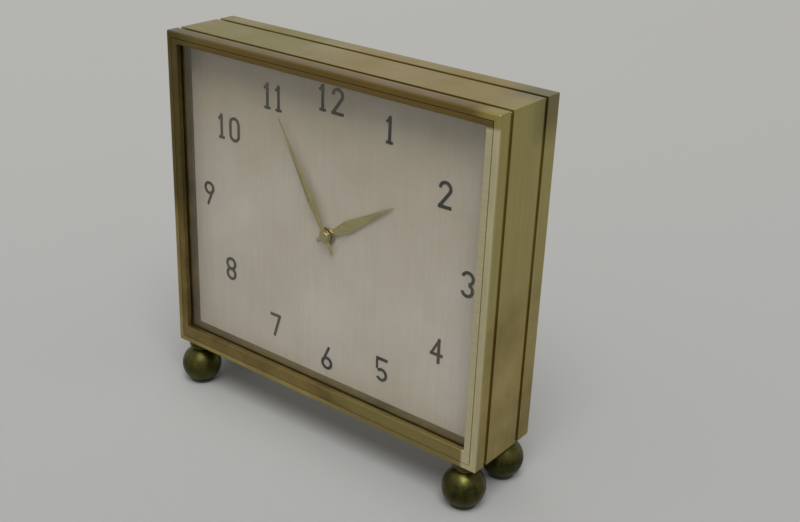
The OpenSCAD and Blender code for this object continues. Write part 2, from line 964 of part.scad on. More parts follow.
module leaf_pinion(p, n, m, phase, level, t) {
    slab(front_plate_end + level - pinion_over, t + 2 * pinion_over)
        translate(p)
            pinion_outline(n, m, phase);
}

module train_wheel(p, n, m, level, t, r_hub, arms, arm_w) {
    slab(front_plate_end + level, t)
        translate(p)
            crossed_wheel(n, m, r_hub, arms, arm_w);
}

module intermediate_wheel() {
    color("#b9a76c") {
        arbor(inter_p, inter_arbor_r);
        train_wheel(inter_p, inter_n, inter_m, inter_level, inter_t, 2.4, 5, 1.3);
        leaf_pinion(inter_p, inter_pinion_n, barrel_m, inter_pinion_phase, barrel_level, barrel_rim_t);
    }
}

module centre_wheel() {
    color("#b9a76c") {
        bar(centre, front_plate_end + end_shake, back_plate_at - end_shake, centre_arbor_r);
        bar(centre, back_plate_at - end_shake, back_plate_end - end_shake, pivot_r);
        bar(centre, cannon_at + end_shake, front_plate_end + end_shake, centre_front_r);
        train_wheel(centre, centre_n, centre_m, centre_level, centre_t, 2.6, 5, 1.3);
        leaf_pinion(centre, centre_pinion_n, inter_m, centre_pinion_phase, inter_level, inter_t);
    }
}

module third_wheel() {
    color("#b9a76c") {
        arbor(third_p, arbor_r);
        train_wheel(third_p, third_n, third_m, third_level, third_t, 2.2, 5, 1.1);
        leaf_pinion(third_p, third_pinion_n, centre_m, third_pinion_phase, centre_level, centre_t);
    }
}

module fourth_wheel() {
    color("#b9a76c") {
        arbor(fourth_p, arbor_r);
        train_wheel(fourth_p, fourth_n, fourth_m, fourth_level, fourth_t, 2, 5, 0.9);
        leaf_pinion(fourth_p, fourth_pinion_n, third_m, fourth_pinion_phase, third_level, third_t);
    }
}

// Escape wheel with pointed teeth
module escape_wheel() {
    step = 360 / escape_n;
    root_r = escape_r - 1;
    color("#c9b46c") {
        arbor(escape_p, staff_r);
        leaf_pinion(escape_p, escape_pinion_n, fourth_m, escape_pinion_phase, fourth_level, fourth_t);
        slab(front_plate_end + escape_level, escape_t)
            translate(escape_p)
                difference() {
                    polygon([for (i = [0 : escape_n - 1]) each [
                        polar([0, 0], escape_r, step * i),
                        polar([0, 0], escape_r - 0.15, step * i + 4),
                        polar([0, 0], root_r, step * i + 9),
                        polar([0, 0], root_r, step * i + 20)]]);
                    crossings(1.3, root_r - 0.6, 4, 0.6);
                }
    }
}

// Pallet lever: two arms round the escape wheel and a fork at the balance
pallet_spread = 34;
stone_gap = 0.48;
stone_l = 1;
stone_w = 0.5;

module pallet_lever() {
    fork_end = fork_reach - impulse_r - impulse_pin_r - 0.15;
    prong = 0.45;
    color("#9a9a94") {
        arbor(lever_p, staff_r);
        slab(front_plate_end + escape_level, escape_t)
            difference() {
                union() {
                    translate(lever_p)
                        circle(lever_hub_r);
                    stroke(lever_p, polar(lever_p, fork_end - 1.2, lever_angle), 0.8);
                    translate(polar(lever_p, fork_end - 0.9, lever_angle))
                        rotate(lever_angle)
                            rect(1.8, 1.8);
                    for (s = [-1, 1])
                        stroke(lever_p, polar(escape_p, escape_r + stone_gap + stone_l + 0.2,
                            lever_angle + s * pallet_spread), 0.9);
                }
                translate(polar(lever_p, fork_end, lever_angle))
                    rotate(lever_angle)
                        rect(2, 1.8 - 2 * prong);
                for (s = [-1, 1])
                    translate(polar(escape_p, escape_r + stone_gap + stone_l / 2,
                        lever_angle + s * pallet_spread))
                        rotate(lever_angle + s * pallet_spread)
                            rect(stone_l + 0.1, stone_w + 0.1);
            }
    }
}

module pallet_stones() {
    color("#a8324a")
        slab(front_plate_end + escape_level - 0.1, escape_t + 0.2)
            for (s = [-1, 1])
                translate(polar(escape_p, escape_r + stone_gap + stone_l / 2,
                    lever_angle + s * pallet_spread))
                    rotate(lever_angle + s * pallet_spread)
                        rect(stone_l, stone_w);
}

// Balance: rim, two arms and timing screws
module balance_wheel() {
    rim_w = 1.1;
    color("#c9b46c")
        slab(front_plate_end + balance_level, balance_t)
            translate(balance_p)
                difference() {
                    circle(balance_d / 2);
                    crossings(1.4, balance_d / 2 - rim_w, 2, 1.3);
                    circle(staff_r + slide_clear);
                }
}

module balance_staff() {
    roller_at = front_plate_end + escape_level - 0.1;
    color("#9a9a94") {
        bar(balance_p, front_plate_end + end_shake, back_plate_at + plate_t / 2, staff_r);
        bar(balance_p, front_plate_at + end_shake, front_plate_end + end_shake, pivot_r);
        bar(balance_p, back_plate_at + plate_t / 2, cock_at + cock_t, pivot_r);
        bar(balance_p, roller_at, front_plate_end + balance_level, roller_r);
        bar(polar(balance_p, impulse_r - impulse_pin_r, lever_angle + 180), roller_at,
            front_plate_end + balance_level, impulse_pin_r);
        bar(balance_p, front_plate_end + hairspring_level - 0.2,
            front_plate_end + hairspring_level + hairspring_t + 0.2, collet_r);
    }
}

module hairspring() {
    per_turn = 36;
    free_end = curb_angle - curb_swing - 6;
    color("#5d6a86")
        slab(front_plate_end + hairspring_level, hairspring_t)
            translate(balance_p)
                spiral(hairspring_in, hairspring_out, hairspring_turns, hairspring_w, per_turn,
                    free_end, (hairspring_end - free_end) * per_turn / 360);
}

// Stud that holds the outer end of the hairspring under the cock
module hairspring_stud() {
    color("#9a9a94")
        difference() {
            bar(hairspring_stud_p, front_plate_end + hairspring_level - 0.2, cock_at, hairspring_stud_r);
            slab(front_plate_end + hairspring_level - fit / 2, hairspring_t + fit)
                translate(balance_p)
                    arc_stroke([0, 0], hairspring_out, hairspring_end - 12, hairspring_end + 1,
                        hairspring_w + fit);
        }
}

hairspring_stud_r = 0.35;
hairspring_stud_p = polar(balance_p, hairspring_out + 0.08, hairspring_end);
cock_screw_inset = 1.8;
cock_screw_places = [for (s = [-1, 1]) balance_p + [s * (cock_l / 2 - cock_screw_inset), 0]];

module balance_cock() {
    color("#b9a76c")
        difference() {
            union() {
                slab(cock_at, cock_t)
                    translate(balance_p) {
                        rect(cock_l, cock_w);
                        stroke([0, 0], polar([0, 0], hairspring_out + 0.9, hairspring_end), 1.6);
                    }
                bar(balance_p, cock_at + cock_t, cock_at + cock_t + cock_boss_t, cock_boss_r);
            }
            bar(balance_p, cock_at - 1, cock_at + cock_t + end_shake, pivot_hole_r);
            for (p = cock_screw_places)
                bar(p, cock_at - 1, cock_at + cock_t + 1, small_screw_d / 2 + slide_clear);
        }
}

module cock_screws() {
    color("#5d6a86")
        for (p = cock_screw_places)
            screw(p, cock_at + cock_t, -1, small_head_d, small_screw_d, cock_t + plate_t);
}

// Regulator: turns on the cock's boss, with two curb pins at the hairspring
module regulator() {
    pin_r = 0.12;
    pin_off = hairspring_w / 2 + pin_r + 0.08;
    pin_end = front_plate_end + hairspring_level - 0.1;
    tab_p = polar(balance_p, regulator_len, 90);
    color("#9a9a94") {
        slab(regulator_at, regulator_t)
            difference() {
                union() {
                    translate(balance_p)
                        circle(regulator_r);
                    stroke(balance_p, tab_p + [0, tab_w / 2], tab_w);
                    stroke(balance_p, polar(balance_p, hairspring_out + 0.9, curb_angle), 1.4);
                }
                translate(balance_p)
                    circle(cock_boss_r + pivot_clear);
            }
        slab(regulator_at + regulator_t, cover_end - regulator_at - regulator_t)
            translate(tab_p)
                rect(tab_w, tab_w);
        for (s = [-1, 1])
            bar(polar(balance_p, hairspring_out + s * pin_off, curb_angle), pin_end, regulator_at, pin_r);
    }
}

// Motion work between the dial plate and the front plate
minute_wheel_at = front_plate_at - 0.9;
motion_t = 0.7;
hour_wheel_at = dial_plate_end + 0.6;
hour_wheel_t = 0.6;
nut_t = 0.6;
nut_bore = 0.35;
minute_hand_at = dial_at - 1.75;
hour_hand_at = minute_hand_at + hand_t + 0.4;
cannon_at = minute_hand_at - nut_bore + slide_clear;

module cannon_pinion() {
    color("#9a9a94")
        difference() {
            union() {
                bar(centre, cannon_at, minute_wheel_at, cannon_r);
                slab(minute_wheel_at, motion_t)
                    rotate(cannon_phase)
                        pinion_outline(cannon_n, minute_m, 0);
            }
            bar(centre, cannon_at - 1, front_plate_at, cannon_bore_r);
        }
}

minute_hub_r = 2.6;
hour_hub_r = 2.8;
motion_arm_w = 1.2;

module minute_wheel() {
    color("#b9a76c")
        difference() {
            union() {
                slab(minute_wheel_at, motion_t)
                    translate(minute_p)
                        crossed_wheel(minute_n, minute_m, minute_hub_r, 4, motion_arm_w);
                slab(hour_wheel_at - 0.1, minute_wheel_at - hour_wheel_at + 0.1)
                    translate(minute_p)
                        pinion_outline(minute_pinion_n, hour_m, minute_pinion_phase);
            }
            bar(minute_p, dial_plate_end, front_plate_at, stud_pin_r + pivot_clear);
        }
}

stud_pin_r = 0.7;

module minute_wheel_stud() {
    color("#9a9a94")
        bar(minute_p, hour_wheel_at - 0.3, front_plate_at, stud_pin_r);
}

module hour_wheel() {
    color("#b9a76c")
        difference() {
            union() {
                slab(hour_wheel_at, hour_wheel_t)
                    crossed_wheel(hour_n, hour_m, hour_hub_r, 4, motion_arm_w);
                bar(centre, hour_hand_at, hour_wheel_at + hour_wheel_t, hour_pipe_r);
            }
            bar(centre, hour_hand_at - 1, hour_wheel_at + 1, hour_bore_r);
        }
}

// A pointed hand with a short tail and a round boss
module hand(at_depth, length, w, angle, bore_r) {
    boss_w = 0.9;
    neck = 0.5;
    tail_w = 0.6;
    color("#8c7a4a")
        difference() {
            union() {
                slab(at_depth, hand_t)
                    rotate(-angle)
                        polygon([[0, length], [w / 2, length * 0.3], [neck, 0],
                            [tail_w, -length * 0.16], [-tail_w, -length * 0.16],
                            [-neck, 0], [-w / 2, length * 0.3]]);
                bar(centre, at_depth, at_depth + hand_t, bore_r + boss_w);
            }
            bar(centre, at_depth - 1, at_depth + hand_t + 1, bore_r);
        }
}

module minute_hand() {
    hand(minute_hand_at, minute_len, minute_w, minute_angle, cannon_r + slide_clear);
}

module hour_hand() {
    hand(hour_hand_at, hour_len, hour_w, hour_angle, hour_pipe_r + slide_clear);
}

module hand_nut() {
    color("#a8935a")
        difference() {
            bar(centre, minute_hand_at - nut_t, minute_hand_at, cannon_r + 0.6);
            bar(centre, minute_hand_at - nut_bore, minute_hand_at + 1, cannon_r + slide_clear);
        }
}

// Setting arbor: geared to the minute wheel, turned by the knob at the back
module setting_arbor() {
    color("#9a9a94") {
        bar(set_p, minute_wheel_at - 0.1, knob_at + knob_t - 1, set_r);
        bar(set_p, front_plate_end + end_shake, front_plate_end + end_shake + 0.8, 1.5);
        bar(set_p, back_plate_at - end_shake - 0.8, back_plate_at - end_shake, 1.5);
        slab(minute_wheel_at, motion_t)
            translate(set_p)
                pinion_outline(set_n, minute_m, set_phase);
    }
}

module setting_knob() {
    ridges = 24;
    color("#a8935a")
        difference() {
            union() {
                slab(knob_at + 0.6, knob_t - 0.6)
                    translate(set_p)
                        teeth(ridges, knob_d / ridges, 0, 0.55, 0.5, 0.9);
                bar(set_p, knob_at, knob_at + 0.6, knob_d / 2 - 0.8);
            }
            bar(set_p, knob_at - 1, knob_at + knob_t - 1 + fit, set_r + slide_clear);
        }
}

case_band();
front_bezel();
crystal();
inner_frame();
dial();
numerals();
dial_plate();
rear_frame();
back_cover();
back_cover_screws();
spacer_posts();
foot(-1, foot_inset);  // foot_front_left
foot(1, foot_inset);  // foot_front_right
foot(-1, case_d - foot_inset);  // foot_rear_left
foot(1, case_d - foot_inset);  // foot_rear_right
foot_felts();
front_plate();
back_plate();
pillars();
plate_screws();
movement_posts();
movement_screws();
barrel();
barrel_lid();
mainspring();
barrel_arbor();
ratchet_wheel();
ratchet_collar();
winding_key();
click();
click_screw();
click_spring();
intermediate_wheel();
centre_wheel();
third_wheel();
fourth_wheel();
escape_wheel();
pallet_lever();
pallet_stones();
balance_wheel();
balance_staff();
hairspring();
hairspring_stud();
balance_cock();
cock_screws();
regulator();
cannon_pinion();
minute_wheel();
minute_wheel_stud();
hour_wheel();
minute_hand();
hour_hand();
hand_nut();
setting_arbor();
setting_knob();
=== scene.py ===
import json
from math import atan2, cos, degrees, radians, sin

import bmesh
import bpy
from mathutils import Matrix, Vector


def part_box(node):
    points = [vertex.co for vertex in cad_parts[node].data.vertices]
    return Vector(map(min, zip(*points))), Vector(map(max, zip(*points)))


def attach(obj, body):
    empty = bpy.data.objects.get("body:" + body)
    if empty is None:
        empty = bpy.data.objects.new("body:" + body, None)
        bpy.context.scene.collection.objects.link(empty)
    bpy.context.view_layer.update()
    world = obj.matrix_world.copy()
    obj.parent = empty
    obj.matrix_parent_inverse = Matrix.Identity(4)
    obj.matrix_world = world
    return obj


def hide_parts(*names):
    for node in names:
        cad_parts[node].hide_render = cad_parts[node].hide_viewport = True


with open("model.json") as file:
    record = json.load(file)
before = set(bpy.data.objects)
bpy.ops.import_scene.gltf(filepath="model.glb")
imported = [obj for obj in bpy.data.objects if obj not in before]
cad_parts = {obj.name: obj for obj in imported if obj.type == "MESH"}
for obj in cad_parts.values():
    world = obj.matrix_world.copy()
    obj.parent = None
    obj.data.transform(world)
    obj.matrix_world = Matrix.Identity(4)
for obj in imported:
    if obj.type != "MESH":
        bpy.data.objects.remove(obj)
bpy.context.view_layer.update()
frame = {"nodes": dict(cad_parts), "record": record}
MM = 0.001

# Camera: to the right of the clock and well above it, with a lens of about 50 mm. Its place and
# its turn come from fitting the case's edges and faces to the photograph.
bpy.ops.object.select_all(action="DESELECT")
bpy.ops.object.camera_add(
    location=(198.66 * MM, -239.51 * MM, 195.36 * MM),
    rotation=(radians(65.572), radians(-2.1), radians(38.023)),
)
camera = bpy.context.object
camera.data.lens = 52.92
camera.data.sensor_width = 36
camera.data.clip_start = 0.01
bpy.context.scene.camera = camera

# Case band: a tube of 1.8 mm brass sheet, folded and soldered at a corner, with two milled
# grooves round it, ground along its length and lacquered. Its colour has painted shade along
# the top edge of the front and on the top, and painted light down the right side. It is also
# darker at the rear right corner.
case_lo, case_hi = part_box("case_band")
front, back = case_lo.y, case_hi.y
case_mid_z = (case_lo.z + case_hi.z) / 2
slack = 0.003 * MM


def only(piece):
    """Makes this piece the active and the only selected one."""
    bpy.ops.object.select_all(action="DESELECT")
    piece.select_set(True)
    bpy.context.view_layer.objects.active = piece


def settle(piece, name):
    """Names a piece and puts its object at the origin, with its place in its mesh."""
    only(piece)
    piece.name = piece.data.name = name
    bpy.ops.object.transform_apply(location=True, rotation=True, scale=True)
    return piece


def edit(piece):
    """Opens a piece for editing, with all its faces selected."""
    only(piece)
    bpy.ops.object.mode_set(mode="EDIT")
    bpy.ops.mesh.select_mode(type="FACE")
    bpy.ops.mesh.select_all(action="SELECT")


def done():
    """Closes the piece in hand."""
    bpy.ops.object.mode_set(mode="OBJECT")


def block(name, lo, hi):
    """A cube stretched from lo to hi, left in edit mode."""
    lo, hi = Vector(lo), Vector(hi)
    bpy.ops.object.select_all(action="DESELECT")
    bpy.ops.mesh.primitive_cube_add(size=1, location=(lo + hi) / 2, scale=hi - lo)
    piece = settle(bpy.context.object, name)
    edit(piece)
    return piece


def middle(part):
    """Where a point is, or the middle of an edge or face."""
    if isinstance(part, bmesh.types.BMVert):
        return part.co
    return sum((v.co for v in part.verts), Vector()) / len(part.verts)


def pick(piece, kind, test):
    """In edit mode, selects just the points, edges or faces that pass the test."""
    bpy.ops.mesh.select_mode(type=kind)
    bpy.ops.mesh.select_all(action="DESELECT")
    mesh = bmesh.from_edit_mesh(piece.data)
    parts = {"VERT": mesh.verts, "EDGE": mesh.edges, "FACE": mesh.faces}[kind]
    for part in parts:
        if test(part):
            part.select_set(True)
    mesh.select_flush_mode()
    bmesh.update_edit_mesh(piece.data)


def cut(place, normal, **options):
    """Cuts the whole of the piece in hand along a plane."""
    bpy.ops.mesh.select_all(action="SELECT")
    bpy.ops.mesh.bisect(plane_co=place, plane_no=normal, threshold=1e-7, **options)


def near(a, b):
    """True for two measures that are the same but for rounding."""
    return abs(a - b) < slack


def apply(piece, kind, **settings):
    """Adds a modifier with its settings and applies it."""
    only(piece)
    modifier = piece.modifiers.new("work", kind)
    for name, value in settings.items():
        setattr(modifier, name, value)
    bpy.ops.object.modifier_apply(modifier=modifier.name)


def round_edges(piece, width, segments=2):
    """Rounds each edge sharper than 30 degrees and shades curved faces smooth, while the
    large flat faces keep their own direction, so that they reflect as flat ones."""
    apply(
        piece, "BEVEL", width=width, segments=segments, limit_method="ANGLE",
        angle_limit=radians(30), harden_normals=False,
    )
    bpy.ops.object.shade_smooth_by_angle(angle=radians(32))
    apply(piece, "WEIGHTED_NORMAL", keep_sharp=True, weight=100)


def linear(code):
    """An sRGB hex colour as the linear one that a shader takes."""
    parts = [int(code[i:i + 2], 16) / 255 for i in (1, 3, 5)]
    return [c / 12.92 if c < 0.04045 else ((c + 0.055) / 1.055) ** 2.4 for c in parts] + [1]


def add_node(material, kind, inputs, **settings):
    """Adds a node with its settings. An input is a plain value or another node's output."""
    made = material.node_tree.nodes.new("ShaderNode" + kind)
    for name, value in settings.items():
        setattr(made, name, value)
    for name, value in inputs.items():
        if isinstance(value, bpy.types.NodeSocket):
            material.node_tree.links.new(value, made.inputs[name])
        else:
            made.inputs[name].default_value = value
    return made


def finish(name, plain):
    """A new material and its shader, with plain values on the shader's own sockets."""
    material = bpy.data.materials.new(name)
    material.use_nodes = True
    shader = material.node_tree.nodes["Principled BSDF"]
    for socket, value in plain.items():
        shader.inputs[socket].default_value = value
    return material, shader


def drive(material, shader, **sockets):
    """Links node outputs to the shader's sockets."""
    for name, output in sockets.items():
        material.node_tree.links.new(output, shader.inputs[name.replace("_", " ")])


def worked_metal(
        name, clean, stained, rough, grain, stain_size=26 * MM, lines=0.2, patches=()):
    """A metal with working lines one way and soft stains: grain is lines per metre along
    X, Y and Z, drawn about three times coarser than real grinding lines so that they show.
    A patch is a colour laid on the metal in a box between two corners, used for painted light
    and shade, and the distance over which it fades."""
    material, shader = finish(name, {"Metallic": 1.0})
    place = add_node(material, "TexCoord", {}).outputs["Object"]
    stains = add_node(material, "TexNoise", {
        "Vector": place, "Scale": 1 / stain_size, "Detail": 6, "Roughness": 0.62})
    stain = add_node(material, "MapRange", {
        "Value": stains.outputs["Fac"], "From Min": 0.36, "From Max": 0.66})
    stretched = add_node(material, "Mapping", {"Vector": place, "Scale": grain})
    ground = add_node(material, "TexNoise", {
        "Vector": stretched.outputs["Vector"], "Scale": 1, "Detail": 3, "Roughness": 0.7})
    line = add_node(material, "MapRange", {
        "Value": ground.outputs["Fac"], "From Min": 0.3, "From Max": 0.7,
        "To Min": 1 - lines, "To Max": 1})
    aged = add_node(material, "Mix", {
        0: stain.outputs["Result"], 6: linear(clean), 7: linear(stained)}, data_type="RGBA")
    # Each patch paints light or shade into the colour, fading out from its box.
    for colour, lo, hi, fade in patches:
        centre, half = (Vector(lo) + Vector(hi)) / 2, (Vector(hi) - Vector(lo)) / 2
        offset = add_node(material, "VectorMath", {0: place, 1: centre}, operation="SUBTRACT")
        offset = add_node(material, "VectorMath", {0: offset.outputs[0]}, operation="ABSOLUTE")
        beyond = add_node(
            material, "VectorMath", {0: offset.outputs[0], 1: half}, operation="SUBTRACT")
        beyond = add_node(
            material, "VectorMath", {0: beyond.outputs[0], 1: (0, 0, 0)}, operation="MAXIMUM")
        away = add_node(material, "VectorMath", {0: beyond.outputs[0]}, operation="LENGTH")
        share = add_node(material, "MapRange", {
            "Value": away.outputs["Value"], "From Max": fade, "To Min": 0.85, "To Max": 0})
        aged = add_node(material, "Mix", {
            0: share.outputs["Result"], 6: aged.outputs[2], 7: linear(colour)},
            data_type="RGBA")
    coloured = add_node(material, "Mix", {
        0: 1.0, 6: aged.outputs[2], 7: line.outputs["Result"]},
        data_type="RGBA", blend_type="MULTIPLY")
    wear = add_node(material, "MapRange", {
        "Value": stains.outputs["Fac"], "From Min": 0.3, "From Max": 0.7,
        "To Min": rough - 0.06, "To Max": rough + 0.1})
    relief = add_node(material, "Bump", {
        "Strength": 0.15, "Distance": 0.02 * MM, "Height": ground.outputs["Fac"]})
    drive(material, shader, Base_Color=coloured.outputs[2], Roughness=wear.outputs["Result"],
          Normal=relief.outputs["Normal"])
    return material


def dress(piece, material, body, slot, *nodes):
    """Gives a finished piece its material and body, and hides the frame's parts that it stands
    for.
    """
    piece.data.materials.clear()
    piece.data.materials.append(material)
    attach(piece, body)
    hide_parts(*nodes)


wall, groove_cut, rim_r = 1.8 * MM, 0.7 * MM, 0.5 * MM
grooves = [(4.4 * MM, 5.8 * MM), (20 * MM, 21.4 * MM)]
band = block("case_band_brass", case_lo, case_hi)
pick(band, "FACE", lambda f: abs(f.normal.y) > 0.9)
bpy.ops.mesh.delete(type="FACE")
for start, end in grooves:
    cut((0, front + start, 0), (0, 1, 0))
    cut((0, front + end, 0), (0, 1, 0))
done()
apply(band, "SOLIDIFY", thickness=wall, offset=-1, use_even_offset=True)


def on_outside(part):
    p = middle(part)
    return near(abs(p.x), case_hi.x) or near(p.z, case_lo.z) or near(p.z, case_hi.z)


edit(band)
pick(band, "FACE", lambda f: on_outside(f) and any(
    front + start < middle(f).y < front + end for start, end in grooves))
bpy.ops.mesh.extrude_region_shrink_fatten(
    TRANSFORM_OT_shrink_fatten={"value": -groove_cut, "use_even_offset": True})
pick(band, "EDGE", lambda e: on_outside(e) and (
    all(near(v.co.y, front) for v in e.verts) or all(near(v.co.y, back) for v in e.verts)))
bpy.ops.mesh.bevel(offset=rim_r, segments=3, affect="EDGES")
done()
round_edges(band, 0.15 * MM)
bar_w = 4.2 * MM
face = front + 0.2 * MM
# Painted light and shade on the front of the band and bezel: painted shade along the top edge and
# down the upper left bar, painted light on the bottom bar, and a painted highlight down the right
# bar.
front_painted_light = [
    ("#7d663a", (case_lo.x, face - MM, case_hi.z - bar_w),
     (case_hi.x - 2 * bar_w, face + 2 * MM, case_hi.z + MM), 4 * MM),
    ("#62562f", (case_lo.x, face - MM, case_mid_z), (case_lo.x + bar_w, face, case_hi.z), 8 * MM),
    ("#9a8d58", (15 * MM, face - MM, case_lo.z),
     (case_hi.x - bar_w, face, case_lo.z + bar_w), 10 * MM),
    ("#e1d6ad", (case_hi.x - bar_w, face - MM, case_lo.z),
     (case_hi.x, face, case_hi.z - bar_w), 0.8 * MM),
]
# Painted shade darkens the top face and painted light brightens the upper right side. The rear
# right corner of the top is also darker.
band_painted_light_and_dark_corner = [
    ("#a8924c", (10 * MM, front, case_hi.z - MM), (case_hi.x, back, case_hi.z), 25 * MM),
    ("#9e934f", (case_lo.x, front, case_hi.z - MM), (-20 * MM, back, case_hi.z), 12 * MM),
    ("#b1a666", (case_hi.x - MM, front, case_mid_z), (case_hi.x, back, case_hi.z), 8 * MM),
    ("#7d744c", (case_hi.x - 6 * MM, back - 6 * MM, case_hi.z - 6 * MM), case_hi, 8 * MM),
]
band_brass_painted_light = worked_metal(
    "lacquered brass, ground round the band", "#b6a463", "#96844b", 0.34, (30, 2600, 30),
    patches=band_painted_light_and_dark_corner + front_painted_light)
dress(band, band_brass_painted_light, "case", "case_brass", "case_band")

# Front bezel: a brass frame sawn from one plate, wider below the dial than above it, with a
# thin lip in front of the glass. It is pressed into the band, which leaves a fine seam.
bezel_lo, bezel_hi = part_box("front_bezel")
glass_lo, glass_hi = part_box("crystal")
rebate, glass_play, lip = 0.9 * MM, 0.05 * MM, 1.6 * MM
inside = Vector((rebate - glass_play, 0, rebate - glass_play))
open_lo, open_hi = glass_lo + inside, glass_hi - inside


def pierced(name, lo, hi, hole_lo, hole_hi):
    """A block with a rectangular hole right through it from front to back."""
    piece = block(name, lo, hi)
    for place in (hole_lo, hole_hi):
        cut(place, (1, 0, 0))
        cut(place, (0, 0, 1))
    pick(piece, "FACE", lambda f: abs(f.normal.y) > 0.9
         and hole_lo.x < middle(f).x < hole_hi.x and hole_lo.z < middle(f).z < hole_hi.z)
    bpy.ops.mesh.bridge_edge_loops()
    return piece


def in_hole(part, hole_lo, hole_hi):
    """True for what lies on the walls of such a hole."""
    p = middle(part)
    beside = hole_lo.x - slack < p.x < hole_hi.x + slack
    between = hole_lo.z - slack < p.z < hole_hi.z + slack
    return beside and between and (
        near(p.x, hole_lo.x) or near(p.x, hole_hi.x)
        or near(p.z, hole_lo.z) or near(p.z, hole_hi.z))


bezel = pierced("front_bezel_brass", bezel_lo, bezel_hi, open_lo, open_hi)
cut((0, front + lip, 0), (0, 1, 0))
pick(bezel, "FACE", lambda f: abs(f.normal.y) < 0.1 and middle(f).y > front + lip
     and in_hole(f, open_lo, open_hi))
bpy.ops.mesh.extrude_region_shrink_fatten(
    TRANSFORM_OT_shrink_fatten={"value": -rebate, "use_even_offset": True})
pick(bezel, "EDGE", lambda e: all(near(v.co.y, front) for v in e.verts)
     and in_hole(e, open_lo, open_hi))
bpy.ops.mesh.bevel(offset=0.3 * MM, segments=3, affect="EDGES")
done()
round_edges(bezel, 0.12 * MM)
# The bezel's colour carries the front's painted light and shade.
bezel_brass_painted_light = worked_metal(
    "lacquered brass, ground across the bezel", "#9c8954", "#6a5732", 0.38, (30, 30, 2600),
    lines=0.16, patches=front_painted_light)
dress(bezel, bezel_brass_painted_light, "case", "case_brass", "front_bezel")

# Glass: a flat pane of 1.8 mm clear float glass with its edges just broken, which lies in the
# bezel's rebate. Dust dulls it a little, in patches of about 2 cm.
pane = block("glass_pane", glass_lo, glass_hi)
done()
round_edges(pane, 0.2 * MM)
glass, shader = finish("clear float glass", {
    "Base Color": linear("#f6faf8"), "Roughness": 0.02, "IOR": 1.5, "Transmission Weight": 1.0})
dust = add_node(glass, "TexNoise", {
    "Vector": add_node(glass, "TexCoord", {}).outputs["Object"], "Scale": 55, "Detail": 4})
haze = add_node(glass, "MapRange", {
    "Value": dust.outputs["Fac"], "From Min": 0.4, "From Max": 0.8,
    "To Min": 0.015, "To Max": 0.07})
drive(glass, shader, Roughness=haze.outputs["Result"])
clear = add_node(glass, "BsdfTransparent", {"Color": linear("#f2f5f3")})
lamp_ray = add_node(glass, "LightPath", {}).outputs["Is Shadow Ray"]
shown = add_node(glass, "MixShader", {
    0: lamp_ray, 1: shader.outputs["BSDF"], 2: clear.outputs["BSDF"]})
glass.node_tree.links.new(
    shown.outputs["Shader"], glass.node_tree.nodes["Material Output"].inputs["Surface"])
dress(pane, glass, "case", "clear_glass", "crystal")

# Inner frame: a brass reveal that keeps the glass off the dial, with its inner edge broken
# at the front.
frame_lo, frame_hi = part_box("inner_frame")
reveal = pierced("inner_frame_brass", frame_lo, frame_hi, open_lo, open_hi)
done()
round_edges(reveal, 0.15 * MM)
# Its brass is darker and rougher than the case's.
reveal_brass = worked_metal(
    "darker, rougher brass reveal", "#8f8050", "#64552f", 0.42, (30, 900, 30), lines=0.15)
dress(reveal, reveal_brass, "case", "case_brass", "inner_frame")

# Dial: a half millimetre brass sheet, silvered by rubbing, so it is a pale matt metal, warmer
# where the silvering has aged, with painted shade that darkens it towards the top. Its faint
# upright grain is drawn coarser than real rubbing lines, so that it shows.
dial_lo, dial_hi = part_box("dial")
dial_z = (open_lo.z + open_hi.z) / 2
dial_hole_r = 2.05 * MM


def bar(name, x, z, radius, start, end, sides=64):
    """A round bar along the depth."""
    bpy.ops.object.select_all(action="DESELECT")
    bpy.ops.mesh.primitive_cylinder_add(
        vertices=sides, radius=radius, depth=end - start, location=(x, (start + end) / 2, z),
        rotation=(radians(90), 0, 0))
    return settle(bpy.context.object, name)


def take(piece, other, how="DIFFERENCE"):
    """Cuts another piece out of this one, or welds it on, and uses the other up."""
    apply(piece, "BOOLEAN", object=other, operation=how, solver="EXACT")
    bpy.data.objects.remove(other)


dial = block("dial_sheet", dial_lo, dial_hi)
# Parted first along the middle of the hole, so that the faces round it stay simple.
cut((0, 0, 0), (1, 0, 0))
done()
take(dial, bar("hole", 0, dial_z, dial_hole_r, dial_lo.y - MM, dial_hi.y + MM))
round_edges(dial, 0.05 * MM)
silver, shader = finish("silvered brass, matt, with painted shade at the top", {"Metallic": 0.35, "Specular IOR Level": 0.5})
place = add_node(silver, "TexCoord", {}).outputs["Object"]
aged = add_node(silver, "TexNoise", {
    "Vector": place, "Scale": 34, "Detail": 5, "Roughness": 0.6})
upright = add_node(silver, "Mapping", {"Vector": place, "Scale": (1800, 60, 60)})
rubbed = add_node(silver, "TexNoise", {
    "Vector": upright.outputs["Vector"], "Scale": 1, "Detail": 2})
tone = add_node(silver, "MapRange", {
    "Value": aged.outputs["Fac"], "From Min": 0.35, "From Max": 0.7, "To Max": 0.6})
